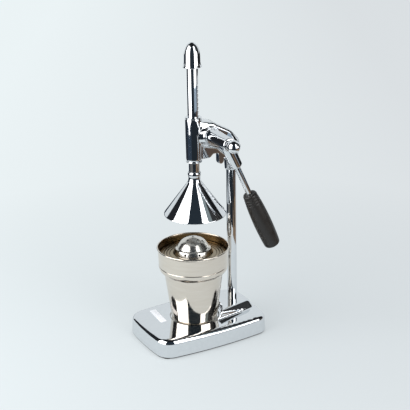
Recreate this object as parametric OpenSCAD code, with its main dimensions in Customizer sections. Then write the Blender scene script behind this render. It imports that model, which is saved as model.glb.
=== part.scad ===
// Lever citrus press: a rack ram with a press cone over a strainer cup, on a column stand.
// Millimetres, +Z up. The origin is the middle of the base, at table level. The column stands
// towards +Y, the cup towards -Y, and the lever is on the +X side.

/* [Base] */
// Width of the base at its corners
base_w = 100; // [83:1:124]
// Length of the base in front of the cup's seat
front_l = 40; // [33:0.5:50]
// Length of the base behind the column
back_l = 26.5; // [25:0.5:34]
// How far each long side bows outwards
side_bow = 3; // [0:0.5:6]
// Corner radius, seen from above
corner_r = 19; // [14:1:24]
// Height of the deck above the table
deck_z = 24; // [20:0.5:32]
// Rounding from the deck down to the sides
edge_r = 6; // [4.5:0.5:9]
// How far the sides lean in over their height
side_draft = 1.2; // [0:0.1:3]
// Wall of the cast base
base_wall = 3; // [2.5:0.5:4]
// Gap under the base, held open by the feet
foot_gap = 2.5; // [2:0.5:4]
// Height of the raised step round the column
step_h = 9.5; // [6:0.5:14]
// Half width of the step at the back
step_back_w = 21; // [18:0.5:26]
// Half width of the step at the front
step_front_w = 29.5; // [27:0.5:34]
// Distance from the column to the back of the step
step_back = 20; // [16:0.5:21]
// Depth of the round seat for the cup
seat_depth = 1.6; // [0.8:0.1:2]
// Thickness of the bottom cover
cover_t = 1.2; // [0.8:0.1:1.4]
// Radius of a foot
foot_r = 7; // [5:0.5:8]

/* [Column] */
// Radius of the column
column_r = 6; // [5:0.1:7.5]
// Gap between the cup's rim and the column
cup_column_gap = 4.5; // [3:0.5:12]

/* [Cup] */
// Outer radius of the cup's rim
cup_r = 44; // [36.5:0.5:53]
// Height of the cup
cup_h = 94; // [78:0.5:113]
// Height of the cup's straight upper band
band_h = 23.5; // [20:0.5:24]
// How far the waist, just under the shoulder, lies inside the rim
cup_step = 8.2; // [7:0.2:10]
// How far the foot lies inside the waist
cup_taper = 7.4; // [4:0.2:10]
// Wall of the cup
cup_wall = 1; // [0.8:0.1:1.4]
// How far the cup's seat lies in front of the ram's axis
cup_offset = 4; // [0:0.5:5]

/* [Strainer] */
// Radius of the dome at its flange
dome_r = 23.6; // [20:0.2:26]
// Height of the dome over its flange
dome_h = 20.5; // [17:0.5:24]
// How far the strainer's flange lies below the rim
flange_drop = 8.8; // [6:0.2:12]
// Sheet thickness of the strainer
strainer_t = 0.8; // [0.6:0.1:1]
// Radius of a juice hole
juice_hole_r = 1.1; // [0.8:0.1:1.4]

/* [Ram] */
// Radius of the ram rod
rod_r = 6.5; // [5.4:0.1:7.8]
// Clear height for the fruit, from the cup's rim to the cone's rim, at rest
press_room = 41.1; // [38:0.1:50]
// Gap between the cone's rim and the cup's rim, seen from above
cup_cone_gap = 6.7; // [5.5:0.1:10]
// Height of the press cone with its neck
cone_h = 53; // [48:0.5:58]
// Wall of the cone's neck round the rod
neck_wall = 1.3; // [1:0.1:2]
// Wall of the press cone
cone_wall = 2; // [1.5:0.1:3]
// Height of the bell cap on top
cap_h = 29; // [25:0.5:34]
// How far the bell cap's lip stands out from the rod
cap_lip = 4.3; // [3.5:0.1:6]
// Length of rod between the sleeve and the cap, at rest
rod_rise = 60; // [55:0.5:70]

/* [Gear] */
// Tooth module of the rack and pinion
tooth_module = 1.6; // [1.4:0.1:1.6]
// Number of pinion teeth
pinion_teeth = 15; // [15:1:15]
// Face width of the pinion
pinion_w = 9; // [7:0.5:10]
// Radius of the pinion shaft
shaft_r = 5; // [4:0.5:5]
// Number of notches in the rack
rack_notches = 15; // [13:1:16]

/* [Head] */
// Wall of the ram's sleeve round its guides
sleeve_wall = 1.7; // [1.4:0.1:3]
// Length of rod between the cone's neck and the sleeve, at rest
neck_gap = 13.5; // [10:0.5:20]
// Length of the sleeve
sleeve_l = 52; // [48:0.5:62]
// Height of the pinion axis over the sleeve's lower edge
axis_rise = 31; // [28:0.5:34]
// Half width of the pinion housing
housing_w = 9.5; // [9:0.5:12]
// Wall round the pinion
housing_wall = 1.4; // [1:0.1:3]
// Length of the bearing boss on the lever side
boss_l = 5; // [3:0.5:8]
// Wall of the bearing boss round its bush
boss_wall = 3.5; // [2.5:0.1:5]
// How far the column's socket reaches below the sleeve
socket_drop = 19; // [14:0.5:24]
// Wall of the column's socket at its lower edge
socket_wall = 1.8; // [1.4:0.1:3]

/* [Lever] */
// Angle of the lever below the horizontal, pointing back, at rest
lever_angle = 65.2; // [55:0.2:75]
// Distance from the ram's plane to the lever
lever_x = 45.5; // [44:0.5:55]
// Distance from the pinion axis to the lever's end
lever_l = 153.7; // [128:0.5:185]
// Length of the lever's socket from the pinion axis
tee_l = 33.5; // [28:0.5:38]
// Radius of the lever's socket
tee_r = 7.3; // [6.5:0.1:8]
// Wall of the hub round the shaft, where it meets the head
hub_wall = 4.8; // [4:0.1:7]
// Radius of the domed nut on the hub's end
ball_r = 7.6; // [7:0.1:9]
// Radius of the lever rod
lever_rod_r = 3.5; // [3:0.25:4]
// Length of the grip
grip_l = 79; // [65:0.5:95]
// Radius of the grip where it is thickest
grip_mid_r = 10.9; // [10:0.1:12]
// How much thinner the grip gets over its whole length from there
grip_bow = 8; // [4:0.5:10]

/* [Hidden] */

// Facets of round bodies and of blended ones
round_fn = 72;
blend_fn = 32;
// Thickness of the slices that a hull is drawn over
eps = 0.02;

// Clearances: between moving faces, under the strainer's skirt, of a shaft or plug in its bore,
// of a bolt in its hole, and of the cup's foot in its seat
joint_gap = 0.3;
seat_gap = 0.5;
run_gap = 0.05;
bolt_gap = 0.2;
cup_seat_gap = 1.6;

// Radii of the cup and of the cone that enters it
waist_r = cup_r - cup_step;
cup_foot_r = waist_r - cup_taper;
cone_r = cup_r - cup_cone_gap;
seat_r = cup_foot_r + cup_seat_gap;

// Places along Y: the base is as long as what stands on it, and its middle is the origin
throat = cup_r - cup_offset + cup_column_gap + column_r;
base_l = front_l + seat_r + cup_offset + throat + back_l;
column_y = base_l / 2 - back_l;
ram_y = column_y - throat;
cup_y = ram_y - cup_offset;

// Heights over the table, from the deck up
seat_z = deck_z - seat_depth;
step_z = deck_z + step_h;
cup_z = seat_z;
rim_z = cup_z + cup_h;
cone_z = rim_z + press_room;
neck_top = cone_z + cone_h;
sleeve_z = neck_top + neck_gap;
sleeve_top = sleeve_z + sleeve_l;
axis_z = sleeve_z + axis_rise;
cap_z = sleeve_top + rod_rise;
socket_z = sleeve_z - socket_drop;

// Base: the step's cut round the cup's seat, the feet and their stems, the cover, the blank plate
step_cut_r = seat_r + 2.8;
step_front = 12;
foot_x = base_w / 2 - 11.5;
foot_y = base_l / 2 - 11.5;
stem_r = 2.5;
stem_l = 7;
cover_top = foot_gap;
cover_z = cover_top - cover_t;
plate_l = 36;
plate_w = 8;
plate_t = 0.3;
plate_x = -0.55 * plate_l;
plate_y = cup_y - seat_r - 10.5;
plate_turn = -4;

// Column end under the deck
stud_r = 4;
washer_r = 9;
washer_t = 1.4;
nut_af = 13;
nut_h = 4.6;
nut_z = cover_top + 0.4;
column_seat_z = nut_z + nut_h + washer_t;
shoulder_z = column_seat_z + 4;
column_top = axis_z - 19;
column_boss_r = column_r + 5;

// Cup and strainer
band_z = rim_z - band_h;
shoulder_h = 8;
shoulder_low_z = band_z - shoulder_h - 2;
band_r = cup_r - 1.7;
shoulder_r = waist_r + 0.8;
foot_round = 3;
// The strainer's skirt stands on the shoulder where that is as wide as the skirt
skirt_r = band_r - cup_wall - 0.4;
ledge_z = band_z - (shoulder_h - cup_wall)
    * sin(acos((skirt_r - shoulder_r) / (band_r - shoulder_r - cup_wall))) + seat_gap;
skirt_h = rim_z - flange_drop - ledge_z;

// Rack and pinion
pitch = PI * tooth_module;
pinion_r = tooth_module * pinion_teeth / 2;
tip_r = pinion_r + tooth_module;
root_depth = 1.25 * tooth_module;
pressure = 20;
backlash = 0.3;
rack_flat = rod_r - 0.6;
rack_line = rack_flat - 0.8 * tooth_module;
// Notches lie whole pitches from the axis, so a tooth meets each
rack_low = axis_z - 2 * pitch;
pinion_y = ram_y + rack_line + pinion_r;
base_circle = pinion_r * cos(pressure);
root_r = pinion_r - root_depth;
flank_steps = 4;
gear_room = 0.6;
cavity_r = tip_r + gear_room;
housing_r = cavity_r + housing_wall;

// Sleeve and its guides
guide_wall = 1.4;
guide_r = rod_r + guide_wall;
bore_gap = 0.4;
guide_l = 7;
guide_flange = 1.6;
sleeve_r = guide_r + sleeve_wall;

// Ram: the rod's end plugs into the neck, and its stud goes on through the cone's floor
neck_r = rod_r + neck_wall;
neck_depth = 12;
ram_seat = neck_top - neck_depth;
ram_stud_r = 3.5;
cone_floor = ram_seat - 5;
cone_washer_r = 6;
cone_washer_t = 1;
cone_nut_r = 6.2;
cone_nut_h = 5;
cap_r = rod_r + cap_lip;
cap_depth = 12;

// Column socket, and the lug with the screw that locks the column
socket_r = column_r + socket_wall;
lug_y = column_y - 15.5;
lug_w = 7;
lug_top = axis_z - 24;
lug_z = axis_z - 40.5;
screw_z = lug_z + 6;
screw_r = 2;
screw_slot = 1.2;

// Lever hub and the parts on the pinion shaft, along X
wall_x = pinion_w / 2 + 0.5;
boss_x = housing_w + boss_l;
hub_x = boss_x + joint_gap;
hub_r = shaft_r + hub_wall;
hub_end_x = lever_x + tee_r + 2.5;
hub_pin_x = hub_x + 6;
hub_pin_r = 1.55;
bush_wall = 2;
boss_r = shaft_r + bush_wall + boss_wall;
rod_seat = shaft_r + 4;
grip_depth = grip_l - 12;
cover_x = -housing_w;
cover_plate_t = 3;
cover_screw_ring = cavity_r - 3.4;
cover_screw_r = 1.55;
cover_screw_l = 1.6;
cover_screw_angles = [30, 150, 270];
shaft_washer_x = cover_x - 2.2;
shaft_washer_t = 0.9;
shaft_clip_x = cover_x - 3.5;
shaft_clip_t = 1;
clip_groove = 1;
shaft_end_x = shaft_clip_x - 1.1;

// ---------------------------------------------------------------- outlines

// How far a side bows out at t, from -1 at one corner to 1 at the other
function bow(t, depth) = depth * (1 - t * t);

// The base outline at a given inset: corner arcs joined by bowed sides
function base_outline(inset) =
    let (w = base_w / 2 - inset, l = base_l / 2 - inset, r = corner_r - inset,
         sides = [-0.75 : 0.25 : 0.75])
    concat(
        [for (y = sides) [w + bow(y, side_bow), y * (l - r)]],
        [for (a = [0 : 15 : 90]) [w - r + r * cos(a), l - r + r * sin(a)]],
        [for (x = sides) [-x * (w - r), l + bow(x, side_bow / 2)]],
        [for (a = [90 : 15 : 180]) [r - w + r * cos(a), l - r + r * sin(a)]],
        [for (y = sides) [-w - bow(y, side_bow), -y * (l - r)]],
        [for (a = [180 : 15 : 270]) [r - w + r * cos(a), r - l + r * sin(a)]],
        [for (x = sides) [x * (w - r), -l - bow(x, side_bow / 2)]],
        [for (a = [270 : 15 : 360]) [w - r + r * cos(a), r - l + r * sin(a)]]
    );

// The base's outer form, or its inner form when shrunk by a wall
module base_form(wall, low_z, high_z) {
    r = max(edge_r - wall, 2);
    hull() {
        translate([0, 0, low_z]) linear_extrude(eps) polygon(base_outline(wall));
        for (a = [0 : 15 : 90])
            translate([0, 0, high_z - eps - r * (1 - sin(a))])
                linear_extrude(eps)
                    polygon(base_outline(wall + side_draft + r * (1 - cos(a))));
    }
}

// A rod along X between two places
module rod_x(x_low, x_high, r) {
    translate([x_low, 0, 0]) rotate([0, 90, 0])
        cylinder(h = x_high - x_low, r = r, $fn = round_fn);
}

// A place on the pinion axis
module at_axis() {
    translate([0, pinion_y, axis_z]) children();
}

// The lever's own direction: +Z of the children points along the lever
module along_lever() {
    translate([lever_x, pinion_y, axis_z]) rotate([-90 - lever_angle, 0, 0]) children();
}

// ---------------------------------------------------------------- stand

module foot_places() {
    for (sx = [-1, 1], sy = [-1, 1]) translate([sx * foot_x, sy * foot_y, 0]) children();
}

// Raised step round the column, open in front round the cup's seat
module step_form() {
    r = 6;
    lean = 3.5;
    difference() {
        hull() for (level = [[0, deck_z - 1], [lean, step_z - 1.5], [lean + 1.5, step_z]]) {
            for (sx = [-1, 1]) {
                translate([sx * (step_back_w - r - level[0]), column_y + step_back - r - level[0],
                        level[1] - eps])
                    cylinder(h = eps, r = r, $fn = blend_fn);
                translate([sx * (step_front_w - r - level[0] / 2), ram_y + step_front, level[1] - eps])
                    cylinder(h = eps, r = r, $fn = blend_fn);
            }
        }
        translate([0, cup_y, deck_z - 2])
            cylinder(h = step_h + 3, r1 = step_cut_r - 0.6, r2 = step_cut_r + 2.6, $fn = round_fn);
    }
}

module base_casting() {
    color("gainsboro") difference() {
        union() {
            difference() {
                base_form(0, foot_gap, deck_z);
                base_form(base_wall, foot_gap - 1, deck_z - base_wall);
            }
            step_form();
            // Pad under the cup's seat
            translate([0, cup_y, seat_z - base_wall])
                cylinder(h = base_wall + seat_depth - eps, r = seat_r + 2, $fn = round_fn);
            // Boss for the column
            translate([0, column_y, column_seat_z])
                cylinder(h = step_z - column_seat_z, r = column_boss_r, $fn = round_fn);
            // Bosses for the feet
            foot_places() translate([0, 0, cover_top])
                cylinder(h = deck_z - base_wall / 2 - cover_top, r = stem_r + 2.5, $fn = round_fn);
        }
        translate([0, cup_y, seat_z]) cylinder(h = deck_z, r = seat_r, $fn = round_fn);
        translate([0, column_y, shoulder_z])
            cylinder(h = step_z, r = column_r + run_gap, $fn = round_fn);
        translate([0, column_y, 0])
            cylinder(h = step_z, r = stud_r + bolt_gap, $fn = round_fn);
        foot_places() translate([0, 0, foot_gap - 1])
            cylinder(h = stem_l + 1, r = stem_r + run_gap, $fn = round_fn);
    }
}

// Sheet under the base's rim that closes it from below, held by the stems of the feet
module base_cover() {
    color("dimgray") difference() {
        translate([0, 0, cover_z]) linear_extrude(cover_t)
            polygon(base_outline(0.8));
        foot_places() cylinder(h = 3 * cover_top, r = stem_r + run_gap, $fn = round_fn);
    }
}

// A rubber foot with the stem that plugs into the base
module foot(sx, sy) {
    color("black") translate([sx * foot_x, sy * foot_y, 0]) rotate_extrude($fn = round_fn)
        polygon([[0, 0], [foot_r - 0.6, 0], [foot_r, 0.6], [foot_r, cover_z],
            [stem_r, cover_z], [stem_r, stem_l], [0, stem_l]]);
}

// Blank plate on the front of the deck
module blank_plate() {
    color("white") translate([plate_x, plate_y, deck_z]) rotate([0, 0, plate_turn])
        translate([-plate_l / 2, -plate_w / 2, 0]) cube([plate_l, plate_w, plate_t]);
}

module column() {
    color("silver") {
        translate([0, column_y, shoulder_z])
            cylinder(h = column_top - shoulder_z, r = column_r, $fn = round_fn);
        translate([0, column_y, nut_z + 0.2])
            cylinder(h = shoulder_z - nut_z, r = stud_r, $fn = round_fn);
    }
}

module column_washer() {
    color("darkgray") translate([0, column_y, nut_z + nut_h]) difference() {
        cylinder(h = washer_t, r = washer_r, $fn = round_fn);
        translate([0, 0, -1]) cylinder(h = washer_t + 2, r = stud_r + bolt_gap, $fn = round_fn);
    }
}

module column_nut() {
    color("darkgray") translate([0, column_y, nut_z]) difference() {
        cylinder(h = nut_h, r = nut_af / sqrt(3), $fn = 6);
        translate([0, 0, -1]) cylinder(h = nut_h + 2, r = stud_r + run_gap, $fn = round_fn);
    }
}

// ---------------------------------------------------------------- head

// A round bar across X with softened ends
module barrel(w, r) {
    for (step = [[3.5, 0], [1, 1.1], [0, 3.2]])
        rod_x(-(w - step[0]), w - step[0], r - step[1]);
}

// The arm that carries the head over the column
module arm_form() {
    shoulder_y = column_y - 13;
    hull() {
        at_axis() barrel(housing_w, housing_r - 0.4);
        translate([0, shoulder_y, axis_z - 9]) barrel(housing_w - 0.5, 13);
    }
    hull() {
        translate([0, shoulder_y, axis_z - 9]) barrel(housing_w - 0.5, 13);
        translate([0, column_y, axis_z - 18]) sphere(r = column_r + 4, $fn = blend_fn);
        translate([0, column_y, axis_z - 32]) cylinder(h = 1, r = socket_r + 1, $fn = blend_fn);
    }
}

// Web under the arm, with the arch between the sleeve and the column
module web_form() {
    arch_r = 7;
    arch_y = column_y - 23.5;
    arch_z = axis_z - 33;
    web_w = 7;
    web_low = sleeve_z + 1;
    web_back = column_y - column_r;
    translate([-web_w / 2, 0, 0]) rotate([90, 0, 90]) linear_extrude(web_w) difference() {
        polygon([[ram_y, web_low], [arch_y - arch_r - 1, web_low], [web_back, arch_z],
            [web_back, axis_z - 12], [ram_y, axis_z]]);
        translate([arch_y, arch_z]) circle(r = arch_r, $fn = round_fn);
        translate([arch_y - arch_r, sleeve_z - 10])
            square([2 * arch_r + column_y, arch_z - sleeve_z + 10]);
    }
}

// Lug for the screw that locks the column
module lug_form() {
    translate([-lug_w / 2, lug_y - lug_w / 2, lug_z + lug_w / 2]) cube([lug_w, lug_w, lug_top - lug_z]);
    translate([-lug_w / 2, lug_y, lug_z + lug_w / 2]) rotate([0, 90, 0])
        cylinder(h = lug_w, r = lug_w / 2, $fn = round_fn);
}

module sleeve_form() {
    translate([0, ram_y, sleeve_z]) rotate_extrude($fn = round_fn)
        polygon([[0, 0], [sleeve_r - 2.2, 0], [sleeve_r - 1, 0.5], [sleeve_r - 0.4, 1.8],
            [sleeve_r, sleeve_l * 0.6], [sleeve_r, sleeve_l - 0.6], [sleeve_r - 0.6, sleeve_l],
            [0, sleeve_l]]);
}

module socket_form() {
    translate([0, column_y, socket_z]) rotate_extrude($fn = round_fn)
        polygon([[0, 0], [socket_r - 0.8, 0], [socket_r, 0.8], [socket_r + 1.4, 20], [socket_r + 2, 33],
            [0, 33]]);
}

module head_casting() {
    color("gainsboro") difference() {
        union() {
            sleeve_form();
            arm_form();
            web_form();
            lug_form();
            socket_form();
            at_axis() barrel(housing_w, housing_r);
            at_axis() rod_x(0, boss_x, boss_r);
        }
        // Bore for the ram, and the seats of its two guides
        translate([0, ram_y, sleeve_z - 1])
            cylinder(h = sleeve_l + 2, r = rod_r + bore_gap, $fn = round_fn);
        translate([0, ram_y, sleeve_z - 1])
            cylinder(h = guide_l + 1, r = guide_r + run_gap, $fn = round_fn);
        translate([0, ram_y, sleeve_top - guide_l])
            cylinder(h = guide_l + 1, r = guide_r + run_gap, $fn = round_fn);
        // Room for the pinion, open on the side of its cover
        at_axis() rod_x(cover_x - 1, wall_x, cavity_r);
        at_axis() rod_x(0, boss_x + 1, shaft_r + bush_wall + run_gap);
        // Blind bore for the column
        translate([0, column_y, socket_z - 1])
            cylinder(h = column_top + 1.5 - socket_z, r = column_r + run_gap, $fn = round_fn);
        // Thread of the lock screw, from the lug through to the column
        translate([0, lug_y - lug_w, screw_z]) rotate([-90, 0, 0])
            cylinder(h = column_y - lug_y + lug_w - column_r / 2, r = screw_r + run_gap, $fn = round_fn);
    }
}

module lock_screw() {
    color("darkgray") translate([0, lug_y - lug_w / 2, screw_z]) rotate([-90, 0, 0])
        difference() {
            cylinder(h = column_y - lug_y + lug_w / 2 - column_r - run_gap, r = screw_r, $fn = round_fn);
            translate([-0.4, -screw_r - 1, -1]) cube([0.8, 2 * screw_r + 2, screw_slot + 1]);
        }
}

// Flanged guide ring pressed into the sleeve
module guide() {
    difference() {
        union() {
            translate([0, 0, -guide_l]) cylinder(h = guide_l, r = guide_r, $fn = round_fn);
            rotate_extrude($fn = round_fn)
                polygon([[0, 0], [guide_r + 1.6, 0], [guide_r + 1.8, guide_flange / 2],
                    [guide_r + 1.2, guide_flange], [0, guide_flange]]);
        }
        translate([0, 0, -guide_l - 1])
            cylinder(h = guide_l + guide_flange + 2, r = rod_r + run_gap, $fn = round_fn);
    }
}

module upper_guide() {
    color("silver") translate([0, ram_y, sleeve_top]) guide();
}

module lower_guide() {
    color("silver") translate([0, ram_y, sleeve_z]) mirror([0, 0, 1]) difference() {
        guide();
        translate([0, 0, guide_flange / 2]) difference() {
            cylinder(h = guide_flange, r = guide_r + 3, $fn = round_fn);
            translate([0, 0, -1])
                cylinder(h = guide_flange + 2, r = guide_r, $fn = round_fn);
        }
    }
}

// Bearing of the pinion shaft on the lever side
module pinion_bush() {
    color("goldenrod") at_axis() difference() {
        rod_x(wall_x - 0.3, boss_x, shaft_r + bush_wall);
        rod_x(0, boss_x + 1, shaft_r + run_gap);
    }
}

// Round cover with the other bearing
module housing_cover() {
    color("silver") difference() {
        at_axis() union() {
            rod_x(cover_x, cover_x + cover_plate_t, cavity_r - 0.1);
            rod_x(cover_x - 1.2, cover_x, shaft_r + 3);
        }
        // The plate makes room for a ram that reaches into it
        translate([0, ram_y, sleeve_z])
            cylinder(h = sleeve_l, r = rod_r + bore_gap, $fn = round_fn);
        at_axis() housing_cover_bores();
    }
}

module housing_cover_bores() {
    rod_x(cover_x - 3, cover_x + cover_plate_t + 1, shaft_r + run_gap);
    for (a = cover_screw_angles) rotate([a, 0, 0]) translate([0, 0, cover_screw_ring])
        rod_x(cover_x - 1, cover_x + cover_screw_l, cover_screw_r + run_gap);
}

// Countersunk screw of the cover
module cover_screw(a) {
    color("darkgray") at_axis() rotate([a, 0, 0]) translate([0, 0, cover_screw_ring]) difference() {
        rod_x(cover_x - 0.3, cover_x + cover_screw_l, cover_screw_r);
        translate([cover_x - 0.8, -0.25, -2]) cube([0.9, 0.5, 4]);
    }
}

// ---------------------------------------------------------------- ram

// A notch between two rack teeth, cut through the back of the rod
module rack_notch() {
    half = pitch / 4 + backlash / 2;
    slope = tan(pressure);
    low = -root_depth;
    high = tooth_module + 1;
    translate([-rod_r - 1, ram_y + rack_line, 0]) rotate([90, 0, 90])
        linear_extrude(2 * rod_r + 2)
            polygon([[low, -half - slope * low], [high, -half - slope * high],
                [high, half + slope * high], [low, half + slope * low]]);
}

module ram_rod() {
    color("silver") difference() {
        union() {
            translate([0, ram_y, ram_seat])
                cylinder(h = cap_z + cap_depth - ram_seat, r = rod_r, $fn = round_fn);
            translate([0, ram_y, cone_floor - 8])
                cylinder(h = ram_seat - cone_floor + 9, r = ram_stud_r, $fn = round_fn);
        }
        // The back is milled flat over the rack
        translate([-rod_r - 1, ram_y + rack_flat, rack_low - pitch])
            cube([2 * rod_r + 2, rod_r, (rack_notches + 1) * pitch]);
        for (i = [0 : rack_notches - 1])
            translate([0, 0, rack_low + i * pitch]) rack_notch();
    }
}

// Bell-shaped cap: a rounded top over a small flared lip
module bell_cap() {
    dome_r1 = cap_r - 1.6;
    dome_z = cap_h * 0.45;
    color("silver") translate([0, ram_y, cap_z]) difference() {
        rotate_extrude($fn = round_fn) polygon(concat(
            [[0, 0], [cap_r - 0.5, 0], [cap_r, 0.5], [cap_r, 1.1], [cap_r - 0.9, 2.8],
                [cap_r - 1.4, 5.6]],
            [for (a = [0 : 7.5 : 82.5]) [dome_r1 * cos(a), dome_z + (cap_h - dome_z) * sin(a)]],
            [[0, cap_h]]));
        translate([0, 0, -1])
            cylinder(h = cap_depth + 1.2, r = rod_r + run_gap, $fn = round_fn);
    }
}

// Press cone: a straight flared funnel under a beaded neck
module press_cone() {
    flare_z = cone_h - 12.5;
    color("silver") translate([0, ram_y, cone_z]) difference() {
        rotate_extrude($fn = round_fn) polygon([
            [0, cone_floor - cone_z], [2, flare_z - 5.5],
            [cone_r - cone_wall * 1.3, 0], [cone_r - 0.4, 0], [cone_r, 0.5], [cone_r - 0.2, 1.3],
            [neck_r + 2, flare_z - 2.2], [neck_r + 0.3, flare_z], [neck_r - 0.5, flare_z + 3.2],
            [neck_r - 0.7, flare_z + 5.5], [neck_r - 0.4, flare_z + 7.6], [neck_r, flare_z + 8.8],
            [neck_r, flare_z + 11.2], [neck_r - 0.7, cone_h], [0, cone_h]]);
        translate([0, 0, ram_seat - cone_z])
            cylinder(h = neck_depth + 1, r = rod_r + run_gap, $fn = round_fn);
        translate([0, 0, -1]) cylinder(h = cone_h, r = ram_stud_r + bolt_gap, $fn = round_fn);
        translate([0, 0, -1])
            cylinder(h = cone_floor - cone_z + 1, r = cone_washer_r + 0.4, $fn = round_fn);
    }
}

module cone_washer() {
    color("darkgray") translate([0, ram_y, cone_floor - cone_washer_t]) difference() {
        cylinder(h = cone_washer_t, r = cone_washer_r, $fn = round_fn);
        translate([0, 0, -1])
            cylinder(h = cone_washer_t + 2, r = ram_stud_r + bolt_gap, $fn = round_fn);
    }
}

module cone_nut() {
    color("darkgray") translate([0, ram_y, cone_floor - cone_washer_t - cone_nut_h]) difference() {
        cylinder(h = cone_nut_h, r = cone_nut_r, $fn = 6);
        translate([0, 0, -1])
            cylinder(h = cone_nut_h + 2, r = ram_stud_r + run_gap, $fn = round_fn);
    }
}

// ---------------------------------------------------------------- lever

// Involute flank: its polar angle at a radius
function flank_angle(r) =
    let (a = acos(min(1, base_circle / r))) tan(a) * 180 / PI - a;
tooth_half = 90 / pinion_teeth - backlash / 4 / pinion_r * 180 / PI + flank_angle(pinion_r);

// The pinion's outline: each tooth goes up one flank and down the other, root to root
function tooth_points(turn) =
    let (foot = max(base_circle, root_r),
         flank = [for (i = [0 : flank_steps]) foot + (tip_r - foot) * i / flank_steps],
         half = [for (r = flank) tooth_half - flank_angle(r)])
    concat(
        [root_r * [cos(turn - tooth_half - 1), sin(turn - tooth_half - 1)]],
        [for (i = [0 : flank_steps]) flank[i] * [cos(turn - half[i]), sin(turn - half[i])]],
        [for (i = [flank_steps : -1 : 0]) flank[i] * [cos(turn + half[i]), sin(turn + half[i])]],
        [root_r * [cos(turn + tooth_half + 1), sin(turn + tooth_half + 1)]]
    );

// Shaft with the pinion cut on it
module pinion() {
    color("darkgray") at_axis() difference() {
        union() {
            rod_x(shaft_end_x, hub_end_x + 4, shaft_r);
            translate([-pinion_w / 2, 0, 0]) rotate([90, 0, 90]) linear_extrude(pinion_w)
                polygon([for (i = [0 : pinion_teeth - 1], p = tooth_points(180 + 360 * i / pinion_teeth)) p]);
        }
        // Groove for the clip
        difference() {
            rod_x(shaft_clip_x - 0.1, shaft_clip_x + shaft_clip_t + 0.1, shaft_r + 1);
            rod_x(shaft_clip_x - 1, shaft_clip_x + 2, shaft_r - clip_groove);
        }
        // Hole for the hub's pin
        translate([hub_pin_x, 0, -2 * hub_r])
            cylinder(h = 4 * hub_r, r = hub_pin_r + run_gap, $fn = round_fn);
    }
}

module shaft_washer() {
    color("darkgray") at_axis() difference() {
        rod_x(shaft_washer_x, shaft_washer_x + shaft_washer_t, shaft_r + 2.4);
        rod_x(shaft_washer_x - 1, cover_x, shaft_r + run_gap);
    }
}

module shaft_clip() {
    color("dimgray") at_axis() difference() {
        rod_x(shaft_clip_x, shaft_clip_x + shaft_clip_t, shaft_r + 1.8);
        rod_x(shaft_clip_x - 1, cover_x, shaft_r - clip_groove + run_gap);
        translate([shaft_clip_x - 0.5, -1.5, 0]) cube([shaft_clip_t + 1, 3, 2 * shaft_r]);
    }
}

// Tapered hub with the socket for the lever rod
module lever_hub() {
    color("gainsboro") difference() {
        union() {
            at_axis() rotate([90, 0, 90]) rotate_extrude($fn = round_fn)
                polygon([[0, hub_x], [hub_r - 0.5, hub_x], [hub_r, hub_x + 0.5],
                    [tee_r + 1.1, lever_x - tee_r - 1], [tee_r + 0.9, hub_end_x - 0.8],
                    [tee_r + 0.3, hub_end_x], [0, hub_end_x]]);
            along_lever() rotate_extrude($fn = round_fn)
                polygon([[0, 0], [tee_r, 0], [tee_r, tee_l - 0.8], [tee_r - 0.8, tee_l],
                    [0, tee_l]]);
        }
        at_axis() rod_x(0, hub_end_x + 1, shaft_r + run_gap);
        along_lever() translate([0, 0, rod_seat])
            cylinder(h = tee_l, r = lever_rod_r + run_gap, $fn = round_fn);
        at_axis() translate([hub_pin_x, 0, -2 * hub_r])
            cylinder(h = 4 * hub_r, r = hub_pin_r + run_gap, $fn = round_fn);
    }
}

module hub_pin() {
    color("darkgray") at_axis() translate([hub_pin_x, 0, -hub_r + 1.2])
        cylinder(h = 2 * hub_r - 2.4, r = hub_pin_r, $fn = round_fn);
}

// Domed nut that closes the end of the hub
module hub_nut() {
    neck = 2;
    color("silver") at_axis() difference() {
        union() {
            translate([hub_end_x + neck + ball_r * 0.8, 0, 0]) rotate([0, 90, 0])
                sphere(r = ball_r, $fn = round_fn);
            rod_x(hub_end_x, hub_end_x + neck + 3, ball_r * 0.86);
        }
        rod_x(hub_end_x - 1, hub_end_x + 4.4, shaft_r + run_gap);
    }
}

module lever_rod() {
    color("silver") along_lever() translate([0, 0, rod_seat + bolt_gap])
        cylinder(h = lever_l - grip_l + grip_depth - rod_seat - bolt_gap, r = lever_rod_r, $fn = round_fn);
}

// Moulded grip: bowed, with rounded ends and three turned grooves by the rod
module grip() {
    groove = 0.5;
    low = lever_l - grip_l;
    function grip_r(t) = grip_mid_r - grip_bow * pow(t - 0.58, 2);
    color([0.13, 0.12, 0.11]) along_lever() translate([0, 0, low]) difference() {
        rotate_extrude($fn = round_fn) polygon(concat(
            [[0, 0], [grip_r(0) - 1.4, 0], [grip_r(0) - 0.4, 0.5], [grip_r(0.02), 1.6]],
            [for (i = [0 : 2], p = [[-0.9, 0], [0, groove], [0.9, 0]])
                let (z = 5 + 3.6 * i + p[0]) [grip_r(z / grip_l) - p[1], z]],
            [for (t = [0.25 : 0.1 : 0.85]) [grip_r(t), t * grip_l]],
            [for (a = [0 : 15 : 75]) [grip_r(0.95) - 3.5 * (1 - cos(a)),
                grip_l - 4 + 3 * sin(a)]],
            [[0, grip_l]]));
        translate([0, 0, -1])
            cylinder(h = grip_depth + 1 + bolt_gap, r = lever_rod_r + run_gap, $fn = round_fn);
    }
}

// ---------------------------------------------------------------- cup

// Outer line of the cup from its foot up to its rim, or its inner line when moved in by t
function cup_line(t) = concat(
    [for (a = [-90 : 22.5 : 0])
        [cup_foot_r - foot_round + (foot_round - t) * cos(a), foot_round + (foot_round - t) * sin(a)]],
    [[waist_r - t, shoulder_low_z - cup_z], [waist_r + 0.25 - t, shoulder_low_z + 1.2 - cup_z]],
    [for (a = [80 : -16 : 0])
        [shoulder_r + (band_r - shoulder_r - t) * cos(a), band_z - cup_z - (shoulder_h - t) * sin(a)]],
    [[band_r + 0.7 - t, cup_h - 3]]);

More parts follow.
